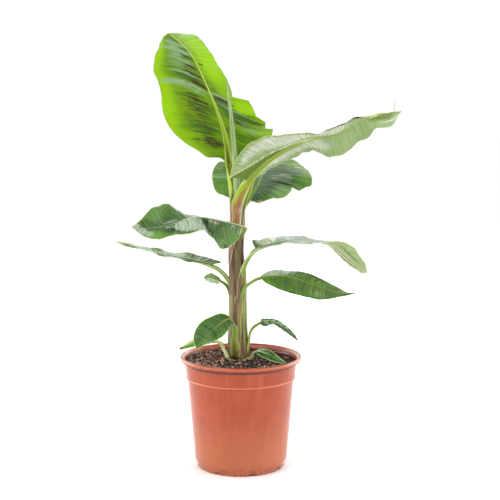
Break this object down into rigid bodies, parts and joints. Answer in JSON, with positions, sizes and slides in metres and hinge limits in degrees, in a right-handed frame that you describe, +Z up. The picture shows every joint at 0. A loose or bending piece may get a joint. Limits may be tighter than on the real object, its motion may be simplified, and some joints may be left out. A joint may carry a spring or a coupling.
{
  "type": "potted banana plant",
  "caption": "Young banana plant with a single pseudostem, broad arching leaves and a rolled spear leaf, in a tapered round nursery pot filled with potting mix.",
  "frame": {"origin": "centre of the pot's flat underside, where it stands on a table or floor", "axes": "+Z up along the pseudostem, +X to the right and +Y to the back of the view in which the arching leaf points right"},
  "size_m": [0.3871, 0.3292, 0.6105],
  "materials": {
    "pot": "smooth moulded plastic in terracotta colour, soft gloss",
    "soil": "crumbly moist peat with lighter fibres",
    "stem": "smooth overlapping leaf sheaths, olive with maroon streaks",
    "spear": "pale grey-green rolled leaf, waxy",
    "young_leaf": "thin waxy leaf, yellow-green, pale beneath, with red-brown blotches",
    "grown_leaf": "glossy dark green leaf, pale beneath, with a light margin"
  },
  "bodies": {
    "root": {"pot": "pot", "soil": "soil", "pseudostem": "stem", "spear_leaf": "spear", "leaf_upper_right": "young_leaf", "leaf_top": "young_leaf", "leaf_back": "grown_leaf", "leaf_left_broad": "grown_leaf", "leaf_left_slender": "grown_leaf", "leaf_left_slender_stalk": "grown_leaf", "leaf_left_small": "grown_leaf", "leaf_right_arching": "grown_leaf", "leaf_right_arching_stalk": "grown_leaf", "leaf_right_arching_tip": "grown_leaf", "leaf_right_lower": "grown_leaf", "leaf_right_lower_stalk": "grown_leaf", "leaf_low_left": "grown_leaf", "leaf_low_left_stalk": "grown_leaf", "leaf_low_left_back": "grown_leaf", "leaf_low_right": "grown_leaf", "leaf_low_right_stalk": "grown_leaf", "leaf_low_right_front": "grown_leaf"}
  },
  "joints": []
}
